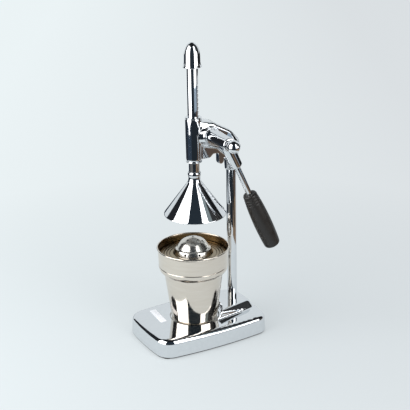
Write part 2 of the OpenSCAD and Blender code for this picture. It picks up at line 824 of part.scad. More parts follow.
module juice_cup() {
    inner = cup_line(cup_wall);
    color([0.83, 0.8, 0.75]) translate([0, cup_y, cup_z]) rotate_extrude($fn = round_fn)
        polygon(concat(
            [[0, 0]], cup_line(0),
            [[cup_r - 0.2, cup_h - 1.6], [cup_r, cup_h - 0.8], [cup_r - 0.4, cup_h],
                [cup_r - cup_wall - 0.6, cup_h]],
            [for (i = [len(inner) - 1 : -1 : 0]) inner[i]],
            [[0, cup_wall]]));
}

// Stepped dome with a flat flange and a skirt that stands on the cup's shoulder
module strainer() {
    function dome_line(t) = [
        [skirt_r - t, 0], [skirt_r - t, skirt_h - 1 - t], [skirt_r - 1, skirt_h - t],
        [dome_r + 0.8, skirt_h - t], [dome_r - t, skirt_h + 0.8 - t],
        [dome_r - 2.1 - t, skirt_h + dome_h * 0.34], [dome_r - 3 - t, skirt_h + dome_h * 0.375 - t / 2],
        [dome_r - 3.9 - t, skirt_h + dome_h * 0.41 - t / 2],
        [dome_r * 0.665 - t, skirt_h + dome_h * 0.688 - t / 2],
        [dome_r * 0.593 - t, skirt_h + dome_h * 0.766 - t], [dome_r * 0.42, skirt_h + dome_h * 0.868 - t],
        [dome_r * 0.2, skirt_h + dome_h * 0.965 - t],
        [0, skirt_h + dome_h - t]];
    outer = dome_line(0);
    inner = dome_line(strainer_t);
    ring_turn = 36.4;
    cap_turn = -74.2;
    color([0.8, 0.8, 0.78]) translate([0, cup_y, ledge_z]) difference() {
        rotate_extrude($fn = round_fn)
            polygon(concat(outer, [for (i = [len(inner) - 1 : -1 : 0]) inner[i]]));
        // Juice holes: one on top, six round it on the cap, and a ring low on the dome
        cylinder(h = 60, r = juice_hole_r, $fn = round_fn);
        for (i = [0 : 3]) rotate([0, 0, cap_turn + 90 * i]) translate([dome_r * 0.365, 0, skirt_h])
            cylinder(h = 40, r = juice_hole_r, $fn = round_fn);
        for (i = [0, 1]) rotate([0, 0, cap_turn + 112 + 180 * i]) translate([dome_r * 0.52, 0, skirt_h])
            cylinder(h = 40, r = juice_hole_r, $fn = round_fn);
        for (i = [0 : 7]) rotate([0, 0, ring_turn + 45 * i])
            translate([dome_r * 0.75, 0, skirt_h + dome_h * 0.23]) rotate([0, 90, 0])
                cylinder(h = 12, r = juice_hole_r, $fn = round_fn);
    }
}

// ---------------------------------------------------------------- nodes

base_casting();
base_cover();
foot(-1, -1);  // foot_1
foot(1, -1);  // foot_2
foot(-1, 1);  // foot_3
foot(1, 1);  // foot_4
blank_plate();
column();
column_washer();
column_nut();
head_casting();
lock_screw();
upper_guide();
lower_guide();
pinion_bush();
housing_cover();
cover_screw(cover_screw_angles[0]);  // cover_screw_1
cover_screw(cover_screw_angles[1]);  // cover_screw_2
cover_screw(cover_screw_angles[2]);  // cover_screw_3
ram_rod();
bell_cap();
press_cone();
cone_washer();
cone_nut();
pinion();
shaft_washer();
shaft_clip();
lever_hub();
hub_pin();
hub_nut();
lever_rod();
grip();
juice_cup();
strainer();
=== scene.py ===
"""Lever citrus press: looks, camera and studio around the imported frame. Metres, +Z up."""
import math
import bmesh
import bpy
from mathutils import Matrix, Vector


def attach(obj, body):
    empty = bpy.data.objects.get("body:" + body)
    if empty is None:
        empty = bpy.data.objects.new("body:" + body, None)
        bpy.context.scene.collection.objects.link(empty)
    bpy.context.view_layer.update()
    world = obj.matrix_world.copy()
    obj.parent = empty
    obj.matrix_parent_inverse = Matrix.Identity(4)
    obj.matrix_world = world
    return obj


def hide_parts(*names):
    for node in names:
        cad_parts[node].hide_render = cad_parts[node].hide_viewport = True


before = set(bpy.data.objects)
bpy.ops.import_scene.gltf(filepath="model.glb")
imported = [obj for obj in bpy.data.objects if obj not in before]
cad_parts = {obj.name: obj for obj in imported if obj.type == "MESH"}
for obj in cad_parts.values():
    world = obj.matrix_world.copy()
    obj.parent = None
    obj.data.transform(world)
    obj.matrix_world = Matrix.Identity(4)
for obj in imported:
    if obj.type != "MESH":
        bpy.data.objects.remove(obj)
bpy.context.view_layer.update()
bpy.ops.object.select_all(action="DESELECT")


# ---- Camera: a long lens on a stand, a little above the press and off its right front corner.
# It looks down on the middle of the press and leans a hair to one side.
camera_azimuth = math.radians(60.8)      # from -Y, the front, towards +X
camera_elevation = math.radians(20.88)
camera_distance = 1.2834
camera_roll = math.radians(-0.99)
camera_aim = Vector((0.00455, 0.00949, 0.16738))
sensor_width = 36.0
focal_length = 94.35

back = Vector((
    math.sin(camera_azimuth) * math.cos(camera_elevation),
    -math.cos(camera_azimuth) * math.cos(camera_elevation),
    math.sin(camera_elevation),
))
right = (-back).cross(Vector((0, 0, 1))).normalized()
up = right.cross(-back)
camera_right = right * math.cos(camera_roll) + up * math.sin(camera_roll)
camera_up = up * math.cos(camera_roll) - right * math.sin(camera_roll)
camera_data = bpy.data.cameras.new("camera")
camera_data.lens = focal_length
camera_data.sensor_width = sensor_width
camera = bpy.data.objects.new("camera", camera_data)
camera_place = camera_aim + back * camera_distance
camera.matrix_world = Matrix((
    (camera_right.x, camera_up.x, back.x, camera_place.x),
    (camera_right.y, camera_up.y, back.y, camera_place.y),
    (camera_right.z, camera_up.z, back.z, camera_place.z),
    (0, 0, 0, 1),
))
bpy.context.scene.collection.objects.link(camera)
bpy.context.scene.camera = camera
bpy.context.scene.view_settings.view_transform = "Standard"


# ---- Studio: pale paper underfoot and a pale room behind, as in the studio of a shop's catalogue.
# Two tall softboxes stand at the left front and the right, with a low one beside the right one.
# The rest of the room is dark.
def colour(code):
    """An sRGB hex colour as the linear RGBA that Blender's sockets take."""
    parts = [int(code[i:i + 2], 16) / 255 for i in (0, 2, 4)]
    return [v / 12.92 if v <= 0.04045 else ((v + 0.055) / 1.055) ** 2.4 for v in parts] + [1.0]


def node(tree, kind, settings=None, **inputs):
    """Adds a node, sets its properties and its sockets, and links the sockets given as outputs."""
    made = tree.nodes.new(kind)
    for key, value in (settings or {}).items():
        setattr(made, key, value)
    for key, value in inputs.items():
        numbered = key[0] == "i" and key[1:].isdigit()
        socket = made.inputs[int(key[1:]) if numbered else key.replace("_", " ")]
        if isinstance(value, bpy.types.NodeSocket):
            tree.links.new(value, socket)
        else:
            socket.default_value = value
    return made


def new_material(name):
    """A new material, with its node tree, its shader, and each point's place on the press."""
    made = bpy.data.materials.new(name)
    made.use_nodes = True
    place = node(made.node_tree, "ShaderNodeTexCoord").outputs["Object"]
    return made, made.node_tree, made.node_tree.nodes["Principled BSDF"], place


def seen_plainly(tree):
    """1 for the rays of the eye, of mirrors and of glass, and 0 for those that light the press."""
    ray = node(tree, "ShaderNodeLightPath")
    seen = node(tree, "ShaderNodeMath", {"operation": "MAXIMUM", "use_clamp": True},
                i0=ray.outputs["Is Camera Ray"], i1=ray.outputs["Is Glossy Ray"])
    seen = node(tree, "ShaderNodeMath", {"operation": "MAXIMUM", "use_clamp": True},
                i0=seen.outputs[0], i1=ray.outputs["Is Transmission Ray"])
    return seen.outputs[0]


# The paper is matt and pale, with a painted shade: its glow and its lit colour are both painted a little
# darker towards one side of the room, the lens's right, away from the left softbox. To the eye and to
# mirrors it keeps a share of its own brightness, more of it far off, so that it stays an even pale
# ground, and the rest takes the press's shadow.
paper, tree, surface, place = new_material("studio_paper")
painted_shade_way = (0.488, 0.873, 0.0)        # the level way to the lens's right
tone_reach = 0.45                        # metres to either side of the press
shadow_reach, shadow_end = 0.15, 0.6     # metres from the press
# Painted shade: the paper's colours darken along this way, standing in for the light falling off away
# from the left softbox.
aside = node(tree, "ShaderNodeVectorMath", {"operation": "DOT_PRODUCT"}, i0=place, i1=painted_shade_way)
painted_shade_across = node(tree, "ShaderNodeMapRange", i0=aside.outputs["Value"], i1=-tone_reach, i2=tone_reach,
                i3=0.0, i4=1.0)
tone = node(tree, "ShaderNodeMix", {"data_type": "RGBA"}, i0=painted_shade_across.outputs[0],
            i6=colour("EDF5F7"), i7=colour("DCE1E4"))
shaded_paper_colour = node(tree, "ShaderNodeMix", {"data_type": "RGBA"}, i0=painted_shade_across.outputs[0],
           i6=colour("D3DADC"), i7=colour("C2C6C9"))
tree.links.new(shaded_paper_colour.outputs[2], surface.inputs["Base Color"])
surface.inputs["Roughness"].default_value = 0.9
surface.inputs["Specular IOR Level"].default_value = 0.1
away = node(tree, "ShaderNodeVectorMath", {"operation": "LENGTH"}, i0=place)
share = node(tree, "ShaderNodeMapRange", i0=away.outputs["Value"], i1=shadow_reach, i2=shadow_end,
             i3=0.5, i4=0.97)
share = node(tree, "ShaderNodeMath", {"operation": "MULTIPLY"}, i0=share.outputs[0],
             i1=seen_plainly(tree))
own = node(tree, "ShaderNodeEmission", Color=tone.outputs[2], Strength=1.0)
mix = node(tree, "ShaderNodeMixShader", i0=share.outputs[0], i1=surface.outputs[0], i2=own.outputs[0])
tree.links.new(mix.outputs[0], tree.nodes["Material Output"].inputs["Surface"])

floor_radius = 4.0
bpy.ops.mesh.primitive_circle_add(vertices=96, radius=floor_radius, fill_type="NGON")
floor = bpy.context.object
floor.name = "studio_floor"
floor.data.materials.append(paper)
floor.select_set(False)


def studio_card(name, azimuths, near, far, code):
    """A curved card round the press that only reflections see, from (radius, height) to another. It
    glows in a flat colour, a painted reflection of the room.
    """
    card_colour = bpy.data.materials.new(name)
    card_colour.use_nodes = True
    nodes = card_colour.node_tree
    nodes.nodes.clear()
    glow = node(nodes, "ShaderNodeEmission", Color=colour(code), Strength=1.0)
    node(nodes, "ShaderNodeOutputMaterial", Surface=glow.outputs[0])
    start, end = azimuths
    steps = max(2, int(abs(end - start) / 5))
    points = []
    for i in range(steps + 1):
        a = math.radians(start + (end - start) * i / steps)
        for radius, height in (near, far):
            points.append((radius * math.sin(a), -radius * math.cos(a), height))
    faces = [(2 * i, 2 * i + 1, 2 * i + 3, 2 * i + 2) for i in range(steps)]
    mesh = bpy.data.meshes.new(name)
    mesh.from_pydata(points, [], faces)
    mesh.materials.append(card_colour)
    card = bpy.data.objects.new(name, mesh)
    bpy.context.scene.collection.objects.link(card)
    card.visible_camera = False
    card.visible_diffuse = False
    card.visible_shadow = False
    card.visible_transmission = False
    card.visible_volume_scatter = False


# Painted reflections of the dark room, from the table's edge outwards and up, open only behind the
# press: dark cards where the room is unlit, paler ones where it is lit. Azimuths are in degrees from the
# front towards the right, and distances in metres.
table_top = 0.0008
for name, azimuths, near, far, code in (
        ("room_left_floor", (-119, -62), 0.3, 2.5, "22303F"),
        ("room_left_corner", (-62, -35), 0.38, 2.5, "2C3036"),
        ("room_lamp_foot", (-35, 29), 0.38, 0.56, "70706E"),
        ("room_lamp_back", (-35, 29), 0.56, 2.5, "364250"),
        ("room_front_floor", (29, 97), 0.33, 2.5, "262D34"),
        ("room_right_floor", (97, 172), 0.29, 0.6, "8A7560"),
        ("room_right_floor", (110, 172), 0.6, 0.9, "5D5048"),
        ("room_front_corner", (97, 110), 0.6, 0.9, "262D34"),
        ("room_right_floor", (122, 172), 0.9, 2.5, "5D5048"),
        ("room_front_corner", (97, 122), 0.9, 2.5, "262D34")):
    studio_card(name, azimuths, (near, table_top), (far, table_top), code)
studio_card("room_lamp_base", (86, 142), (1.12, 0.001), (1.12, 0.14), "9FB0BF")
studio_card("room_far_floor", (138, 240), (1.5, 0.0012), (3.5, 0.0012), "1E2023")
wall_distance, room_height = 2.0, 3.0
for name, azimuths, code in (("room_left_wall", (-65, 29), "26282C"),
                             ("room_front_wall", (29, 97), "2A333B"),
                             ("room_right_wall", (97, 160), "3A3B3C"),
                             ("room_right_corner", (160, 181), "1B1C1E")):
    studio_card(name, azimuths, (wall_distance, 0.0), (wall_distance, room_height), code)
studio_card("room_right_haze", (115, 134), (1.3, 0.55), (1.3, 1.9), "8B9698")
studio_card("room_ceiling", (0, 360), (wall_distance, room_height), (0.01, room_height), "1E2124")


def softbox(name, azimuth, distance, width, low, high, radiance=3.2):
    """A tall rectangular light that faces the press."""
    light = bpy.data.lights.new(name, "AREA")
    light.shape = "RECTANGLE"
    light.size = width
    light.size_y = high - low
    light.energy = radiance * math.pi * width * (high - low)
    lamp = bpy.data.objects.new(name, light)
    a = math.radians(azimuth)
    lamp.location = (distance * math.sin(a), -distance * math.cos(a), (low + high) / 2)
    lamp.rotation_euler = (math.pi / 2, 0, a)
    bpy.context.scene.collection.objects.link(lamp)


softbox("softbox_left", azimuth=-1, distance=0.83, width=0.96, low=0.012, high=1.3)
softbox("softbox_right", azimuth=104.5, distance=1.1, width=0.47, low=0.14, high=1.8)
softbox("softbox_low", azimuth=127, distance=1.1, width=0.45, low=0.14, high=0.55)

room = bpy.data.worlds.new("studio_room")
bpy.context.scene.world = room
room.use_nodes = True
tree = room.node_tree
tree.nodes.clear()
fill = node(tree, "ShaderNodeBackground", Color=colour("E6ECEF"), Strength=0.8)
wall = node(tree, "ShaderNodeBackground", Color=colour("E6ECEF"), Strength=1.0)
mix = node(tree, "ShaderNodeMixShader", i0=seen_plainly(tree), i1=fill.outputs[0],
           i2=wall.outputs[0])
node(tree, "ShaderNodeOutputWorld", Surface=mix.outputs[0])


# ---- Base: a hollow zinc die casting with a round seat for the cup and a step round the column.
# It is buffed and chrome plated, so its fillets and corners are soft and its faces swell a little.
mm = 0.001
deck, base_rim, seat_floor = 24.0, 2.5, 22.4          # heights in mm
cup_y, column_y = -5.5, 49
cup_axis = (0, cup_y * mm, 0)
column_axis = (0, column_y * mm, 0)
feet_at = [(-38.5, -64), (38.5, -64), (-38.5, 64), (38.5, 64)]


def add(shape, name, place, sides=None, **settings):
    """A primitive with its middle at a place in mm, and its size in mm along X, Y and Z."""
    bpy.ops.object.select_all(action="DESELECT")
    at = [v * mm for v in place]
    if sides:
        settings["scale"] = [v * mm for v in sides]
    getattr(bpy.ops.mesh, "primitive_" + shape + "_add")(location=at, **settings)
    bpy.ops.object.transform_apply(location=True, rotation=True, scale=True)
    bpy.context.object.name = name
    return bpy.context.object


def bar(name, start, end, radius, sides=72, tip=None):
    """A round bar between two places in mm, or a taper where tip gives the radius at its end."""
    start, end = Vector(start), Vector(end)
    turn = (end - start).to_track_quat("Z", "Y").to_euler()
    return add("cone", name, (start + end) / 2, vertices=sides, radius1=radius * mm,
               radius2=(radius if tip is None else tip) * mm, depth=(end - start).length * mm,
               rotation=turn)


def edit(piece):
    """Opens one piece in edit mode with nothing else selected."""
    bpy.ops.object.select_all(action="DESELECT")
    bpy.context.view_layer.objects.active = piece
    piece.select_set(True)
    bpy.ops.object.mode_set(mode="EDIT")


def pick(kind, test):
    """In edit mode, selects the vertices, edges or faces all of whose corners pass a test in mm."""
    bpy.ops.mesh.select_mode(type=kind)
    bpy.ops.mesh.select_all(action="DESELECT")
    mesh = bmesh.from_edit_mesh(bpy.context.edit_object.data)
    for item in {"VERT": mesh.verts, "EDGE": mesh.edges, "FACE": mesh.faces}[kind]:
        corners = [item.co / mm] if kind == "VERT" else [corner.co / mm for corner in item.verts]
        if test(corners):
            item.select_set(True)
    mesh.select_flush_mode()
    bmesh.update_edit_mesh(bpy.context.edit_object.data)


def join(name, *pieces):
    """Joins pieces into one mesh."""
    bpy.ops.object.select_all(action="DESELECT")
    for piece in pieces:
        piece.select_set(True)
    bpy.context.view_layer.objects.active = pieces[0]
    bpy.ops.object.join()
    bpy.context.object.name = name
    return bpy.context.object


def wrap(name, *pieces):
    """Stretches one convex skin over pieces, as a lofted boss between two ends."""
    piece = join(name, *pieces)
    edit(piece)
    bpy.ops.mesh.select_all(action="SELECT")
    bpy.ops.mesh.convex_hull()
    bpy.ops.object.mode_set(mode="OBJECT")
    return piece


def apply(piece, kind, **settings):
    """Adds one modifier and applies it."""
    bpy.context.view_layer.objects.active = piece
    change = piece.modifiers.new("change", kind)
    for key, value in settings.items():
        setattr(change, key, value)
    bpy.ops.object.modifier_apply(modifier="change")


def cast(piece, grain, passes):
    """Melts joined forms into one casting: a skin of square faces, then relaxed into fillets."""
    apply(piece, "REMESH", mode="VOXEL", voxel_size=grain * mm, use_smooth_shade=True)
    apply(piece, "SMOOTH", factor=0.5, iterations=passes)


def cut(piece, tool):
    """Cuts a piece with a tool, and takes the tool away."""
    apply(piece, "BOOLEAN", object=tool, operation="DIFFERENCE", solver="MANIFOLD")
    bpy.data.objects.remove(tool, do_unlink=True)


def finish(piece, angle=35):
    """Shades a piece smooth up to an angle, and leaves its object at the origin."""
    bpy.ops.object.select_all(action="DESELECT")
    bpy.context.view_layer.objects.active = piece
    piece.select_set(True)
    bpy.ops.object.transform_apply(location=True, rotation=True, scale=True)
    bpy.ops.object.shade_smooth_by_angle(angle=math.radians(angle))
    piece.select_set(False)


def fit(piece, body, slot, material, *nodes):
    """Gives a piece its material, and puts it in its nodes' place on a body."""
    piece.data.materials.clear()
    piece.data.materials.append(material)
    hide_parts(*nodes)
    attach(piece, body)


def block(name, width, length, low, high, corner, bow, edge):
    """A long block with rounded corners and bowed sides, its top edge rounded over."""
    near = 0.01
    piece = add("cube", name, (0, 0, (low + high) / 2), (width, length, high - low), size=1)
    edit(piece)
    pick("EDGE", lambda c: abs(c[0].z - c[1].z) > 1)
    bpy.ops.mesh.bevel(offset=corner * mm, segments=12, affect="EDGES")
    for along, across, half in ((1, 0, width / 2), (0, 1, length / 2)):
        pick("EDGE", lambda c: abs(c[0][along] - c[1][along]) > 30
             and abs(abs(c[0][across]) - half) < near)
        bpy.ops.mesh.subdivide(number_cuts=15)
    for side, out in (((1, 0), bow), ((-1, 0), bow), ((0, 1), bow / 2), ((0, -1), bow / 2)):
        reach = (length if side[0] else width) / 2 - corner
        pick("VERT", lambda c: abs(c[0].x * side[0] + c[0].y * side[1]
             - (width if side[0] else length) / 2) < near and abs(c[0].y if side[0] else c[0].x) < near)
        bpy.ops.transform.translate(
            value=(side[0] * out * mm, side[1] * out * mm, 0), use_proportional_edit=True,
            proportional_edit_falloff="INVERSE_SQUARE", proportional_size=reach * mm)
    pick("VERT", lambda c: c[0].z > high - near)
    draft = 1.2 * (high - low) / 21.5        # sides lean in by 1.2 mm in 21.5 mm, to leave the mould
    bpy.ops.transform.resize(value=(1 - 2 * draft / width, 1 - 2 * draft / length, 1),
                             center_override=(0, 0, high * mm))
    pick("EDGE", lambda c: c[0].z > high - near and c[1].z > high - near)
    bpy.ops.mesh.bevel(offset=edge * mm, segments=12, affect="EDGES", clamp_overlap=False)
    bpy.ops.object.mode_set(mode="OBJECT")
    return piece


# The step's corners, drawn in as it rises from the deck.
step_rings = []
for height, lean in ((20, 0), (deck, 0), (32, 3.5), (33.5, 5)):
    for side in (-1, 1):
        for x, y in ((15 - lean, 63 - lean), (23.5 - lean / 2, 10.5)):
            step_rings.append(add("circle", "step_ring", (side * x, y, height), vertices=64,
                                  radius=6 * mm, fill_type="NGON"))
step = wrap("step", *step_rings)
cut(step, bar("cup_room", (0, cup_y, 22), (0, cup_y, 34.5), 32.2, 128, tip=35.4))
base = join("base", block("base", width=100, length=151, low=-1.5, high=deck, corner=19, bow=3,
                          edge=6), step)
cast(base, 0.8, 10)

# The hollow leaves a 3 mm wall, and bosses for the column, the feet and the cup's seat.
hollow = block("hollow", width=94, length=145, low=-10, high=deck - 3, corner=16, bow=3, edge=6)
bosses = [(0, column_y, 8.9, 11)] + [(x, y, base_rim, 5) for x, y in feet_at]
for x, y, low, radius in bosses + [(0, cup_y, seat_floor - 3, 32)]:
    cut(hollow, bar("boss", (x, y, low), (x, y, 40), radius, 48))
cut(base, hollow)
cut(base, add("cube", "under", (0, 0, base_rim - 10), (300, 300, 20), size=1))
cut(base, bar("column_hole", (0, column_y, 12.9), (0, column_y, 60), 6.05))
cut(base, bar("stud_hole", (0, column_y, 3), (0, column_y, 20), 4.2))
for x, y in feet_at:
    cut(base, bar("stem_hole", (x, y, 0), (x, y, 7), 2.55, 32))


def rounded(corners, radius=0.4, steps=3):
    """A profile with each corner broken by a small arc."""
    corners = [Vector(corner) for corner in corners]
    points = [corners[0]]
    for before, corner, after in zip(corners, corners[1:], corners[2:]):
        a, b = before - corner, after - corner
        if a.angle(b) > math.radians(168):
            points.append(corner)
            continue
        a *= min(radius, 0.4 * a.length) / a.length
        b *= min(radius, 0.4 * b.length) / b.length
        for i in range(steps + 1):
            t = i / steps
            points.append(corner + a * (1 - t) ** 2 + b * t ** 2)
    return [tuple(point) for point in points] + [tuple(corners[-1])]


def turned(name, profile, centre, axis=(0, 0, 1), steps=128):
    """A profile of (radius, height) in mm, drawn point by point and spun round an axis.

    The attribute "way" keeps each point's distance along the profile, for lines left by a lathe.
    """
    axis = Vector(axis).normalized()
    out = axis.orthogonal().normalized()
    centre = Vector(centre)
    points = [centre + (out * radius + axis * height) * mm for radius, height in profile]
    piece = add("plane", name, points[0] / mm, size=mm)
    edit(piece)
    bpy.ops.mesh.select_mode(type="VERT")
    bpy.ops.mesh.select_all(action="SELECT")
    bpy.ops.mesh.merge(type="CENTER")
    for start, end in zip(points, points[1:]):
        bpy.ops.mesh.extrude_vertices_move(TRANSFORM_OT_translate={"value": end - start})
    bpy.ops.object.mode_set(mode="OBJECT")
    way = piece.data.attributes.new("way", "FLOAT", "POINT")
    distance = 0.0
    for i, item in enumerate(way.data):
        item.value = distance
        distance += (points[min(i + 1, len(points) - 1)] - points[i]).length
    edit(piece)
    bpy.ops.mesh.select_all(action="SELECT")
    bpy.ops.mesh.spin(steps=steps, angle=2 * math.pi, center=centre, axis=axis)
    bpy.ops.mesh.select_all(action="SELECT")
    bpy.ops.mesh.remove_doubles(threshold=2e-6)
    bpy.ops.mesh.normals_make_consistent(inside=False)
    bpy.ops.object.mode_set(mode="OBJECT")
    return piece


cut(base, turned("seat_room", [(0, seat_floor)] + rounded([(0.5, seat_floor), (29.6, seat_floor),
    (30, 23.5), (30.9, 24.06), (31, 40)], 0.8) + [(0, 40)], cup_axis))
finish(base, 40)


def coat(tree, surface, tone, gloss, relief=None, metallic=1.0):
    """Joins a finish's colour, roughness and relief to its shader. Even roughness is a number."""
    tree.links.new(tone.outputs[2], surface.inputs["Base Color"])
    surface.inputs["Metallic"].default_value = metallic
    if isinstance(gloss, float):
        surface.inputs["Roughness"].default_value = gloss
    else:
        tree.links.new(gloss.outputs[0], surface.inputs["Roughness"])
    if relief:
        tree.links.new(relief.outputs[0], surface.inputs["Normal"])


# Chrome over buffed zinc: nearly a mirror, with swells some 9 mm apart left by the buffing wheel,
# a fine haze that comes and goes over 4 mm, and hairlines of 0.2 mm that only show close by.
plated, tree, surface, place = new_material("chrome_on_zinc_casting")
swells = node(tree, "ShaderNodeTexNoise", Vector=place, Scale=110.0, Detail=1.0, Roughness=0.4)
haze = node(tree, "ShaderNodeTexNoise", Vector=place, Scale=260.0, Detail=5.0, Roughness=0.6)
drawn = node(tree, "ShaderNodeMapping", Vector=place, Scale=(900.0, 5000.0, 900.0),
             Rotation=(0.4, 0.2, 0.6))
hairlines = node(tree, "ShaderNodeTexNoise", Vector=drawn.outputs[0], Scale=1.0, Detail=2.0)
tone = node(tree, "ShaderNodeMix", {"data_type": "RGBA"}, i0=haze.outputs[0],
            i6=colour("DADDE0"), i7=colour("E6E8EA"))
gloss = node(tree, "ShaderNodeMapRange", i0=haze.outputs[0], i1=0.35, i2=0.7, i3=0.035, i4=0.075)
low = node(tree, "ShaderNodeBump", Strength=1.0, Distance=0.00006, Height=swells.outputs[0])
fine = node(tree, "ShaderNodeBump", Strength=0.15, Distance=0.000004, Height=hairlines.outputs[0],
            Normal=low.outputs[0])
coat(tree, surface, tone, gloss, fine)
fit(base, "stand", "plated_casting", plated, "base_casting")


# ---- Bottom cover: a steel sheet painted dark grey, held by the stems of the feet.
# Powder paint gives it an orange peel 1.1 mm wide, and dust lies on it in wide patches.
painted, tree, surface, place = new_material("dark_powder_paint")
peel = node(tree, "ShaderNodeTexNoise", Vector=place, Scale=900.0, Detail=3.0)
dust = node(tree, "ShaderNodeTexNoise", Vector=place, Scale=60.0, Detail=6.0)
tone = node(tree, "ShaderNodeMix", {"data_type": "RGBA"}, i0=dust.outputs[0],
            i6=colour("161719"), i7=colour("232425"))
bump = node(tree, "ShaderNodeBump", Strength=0.5, Distance=0.00005, Height=peel.outputs[0])
coat(tree, surface, tone, 0.55, bump, metallic=0.0)


def coat_node(name, material):
    """Gives its material to a CAD node that is shown as it is."""
    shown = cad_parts[name]
    shown.data.materials.clear()
    shown.data.materials.append(material)


coat_node("base_cover", painted)


# ---- Feet: four moulded rubber pads, each with a stem that plugs into the base.
# Their soles are dished a little, so that they grip the table. The mould leaves a dull skin with a
# grain of 0.6 mm, and the rubber blooms grey in patches some 6 mm wide.
rubber, tree, surface, place = new_material("moulded_rubber")
grain = node(tree, "ShaderNodeTexNoise", Vector=place, Scale=1600.0, Detail=3.0)
bloom = node(tree, "ShaderNodeTexNoise", Vector=place, Scale=180.0, Detail=5.0)
tone = node(tree, "ShaderNodeMix", {"data_type": "RGBA"}, i0=bloom.outputs[0],
            i6=colour("161514"), i7=colour("292725"))
bump = node(tree, "ShaderNodeBump", Strength=0.6, Distance=0.00008, Height=grain.outputs[0])
coat(tree, surface, tone, 0.72, bump, metallic=0.0)
sole = turned("foot", [(0, 0.5), (3.6, 0.5)] + rounded([(4.2, 0.05), (6.5, 0), (7, 0.5), (7, 1.3),
    (2.5, 1.3), (2.5, 7)], 0.3) + [(0, 7)], (feet_at[0][0] * mm, feet_at[0][1] * mm, 0), steps=64)
for number, (x, y) in enumerate(feet_at, 1):
    pad = sole.copy()
    pad.data = sole.data.copy()
    pad.name = "foot_pad_%d" % number
    pad.location = ((x - feet_at[0][0]) * mm, (y - feet_at[0][1]) * mm, 0)
    bpy.context.scene.collection.objects.link(pad)
    finish(pad)
    fit(pad, "stand", "black_rubber", rubber, "foot_%d" % number)
bpy.data.objects.remove(sole, do_unlink=True)


# ---- Blank plate: a thin white enamelled strip glued to the front of the deck, left without marks.
# Its corners are clipped round and its edge is rolled down. The enamel is smooth and softly glossy,
# with a faint mottle 3 mm wide.
enamel, tree, surface, place = new_material("white_enamel")
mottle = node(tree, "ShaderNodeTexNoise", Vector=place, Scale=350.0, Detail=4.0)
tone = node(tree, "ShaderNodeMix", {"data_type": "RGBA"}, i0=mottle.outputs[0],
            i6=colour("E8E9EF"), i7=colour("F3F4F8"))
bump = node(tree, "ShaderNodeBump", Strength=0.3, Distance=0.00002, Height=mottle.outputs[0])
coat(tree, surface, tone, 0.35, bump, metallic=0.0)
plate_x, plate_y = -19.8, -46
plate = add("cube", "label_plate", (plate_x, plate_y, deck + 0.15), (36, 8, 0.3), size=1)
edit(plate)
pick("EDGE", lambda c: abs(c[0].z - c[1].z) > 0.1)
bpy.ops.mesh.bevel(offset=1.2 * mm, segments=6, affect="EDGES")
pick("FACE", lambda c: min(p.z for p in c) > deck + 0.2)
bpy.ops.mesh.bevel(offset=0.12 * mm, segments=3, affect="EDGES")
bpy.ops.mesh.select_all(action="SELECT")
bpy.ops.transform.rotate(value=math.radians(4), orient_axis="Z",
                         center_override=(plate_x * mm, plate_y * mm, deck * mm))
bpy.ops.object.mode_set(mode="OBJECT")
finish(plate)
fit(plate, "stand", "white_label", enamel, "blank_plate")


# ---- Column: a bright steel bar, turned down at its foot to a stud that a nut holds in the base.
# Ground and chrome plated, so it mirrors the room in long stripes.
column = turned("column_bar", rounded([(0, 3.1), (4, 3.1), (4, 12.9), (6, 12.9), (6, 236),
    (0, 236)], 0.5), column_axis)
finish(column)

# Chrome over turned and polished steel: a mirror with faint rings round it, in bands from 3 mm
# down, far coarser than the 0.1 mm of the real tool marks, so that they still show.
polished, tree, surface, place = new_material("chrome_on_turned_steel")
way = node(tree, "ShaderNodeAttribute", {"attribute_name": "way"}).outputs["Fac"]
rings = node(tree, "ShaderNodeTexNoise", {"noise_dimensions": "1D"}, W=way, Scale=330.0,
             Detail=5.0, Roughness=0.65)
smear = node(tree, "ShaderNodeTexNoise", Vector=place, Scale=150.0, Detail=4.0)
wear = node(tree, "ShaderNodeMath", {"operation": "MULTIPLY"}, i0=rings.outputs[0], i1=smear.outputs[0])
tone = node(tree, "ShaderNodeMix", {"data_type": "RGBA"}, i0=smear.outputs[0],
            i6=colour("DCDFE2"), i7=colour("E8EAEC"))
gloss = node(tree, "ShaderNodeMapRange", i0=wear.outputs[0], i1=0.15, i2=0.4, i3=0.03, i4=0.075)
bump = node(tree, "ShaderNodeBump", Strength=0.5, Distance=0.000012, Height=rings.outputs[0])
coat(tree, surface, tone, gloss, bump)
fit(column, "stand", "polished_chrome", polished, "column")

# Bright zinc on the bought fasteners: softer and a little blue, cloudy in patches of 1.4 mm, with
# its crystals drawn 0.7 mm wide, coarser than the real ones, so that they show.
zinc, tree, surface, place = new_material("bright_zinc_plating")
cloud = node(tree, "ShaderNodeTexNoise", Vector=place, Scale=700.0, Detail=5.0)
grain = node(tree, "ShaderNodeTexVoronoi", Vector=place, Scale=1500.0)
tone = node(tree, "ShaderNodeMix", {"data_type": "RGBA"}, i0=cloud.outputs[0],
            i6=colour("B4B8BE"), i7=colour("CFD2D6"))
gloss = node(tree, "ShaderNodeMapRange", i0=grain.outputs[0], i1=0.0, i2=0.8, i3=0.2, i4=0.34)
bump = node(tree, "ShaderNodeBump", Strength=0.4, Distance=0.00003, Height=cloud.outputs[0])
coat(tree, surface, tone, gloss, bump)
for name in ("column_washer", "column_nut", "lock_screw", "cover_screw_1", "cover_screw_2",
             "cover_screw_3", "cone_washer", "cone_nut", "shaft_washer", "shaft_clip", "hub_pin"):
    coat_node(name, zinc)


# ---- Head: one zinc casting with the ram's sleeve, the pinion's housing and the column's socket.
# A web with an arch joins them under the arm. It is buffed and plated like the base, then bored.
ram_y, pinion_y, pinion_z = -1.5, 15.12, 255
sleeve_foot, sleeve_top = 224, 276                    # heights
ram_axis = (0, ram_y * mm, 0)
pinion_at = Vector((0, pinion_y, pinion_z))


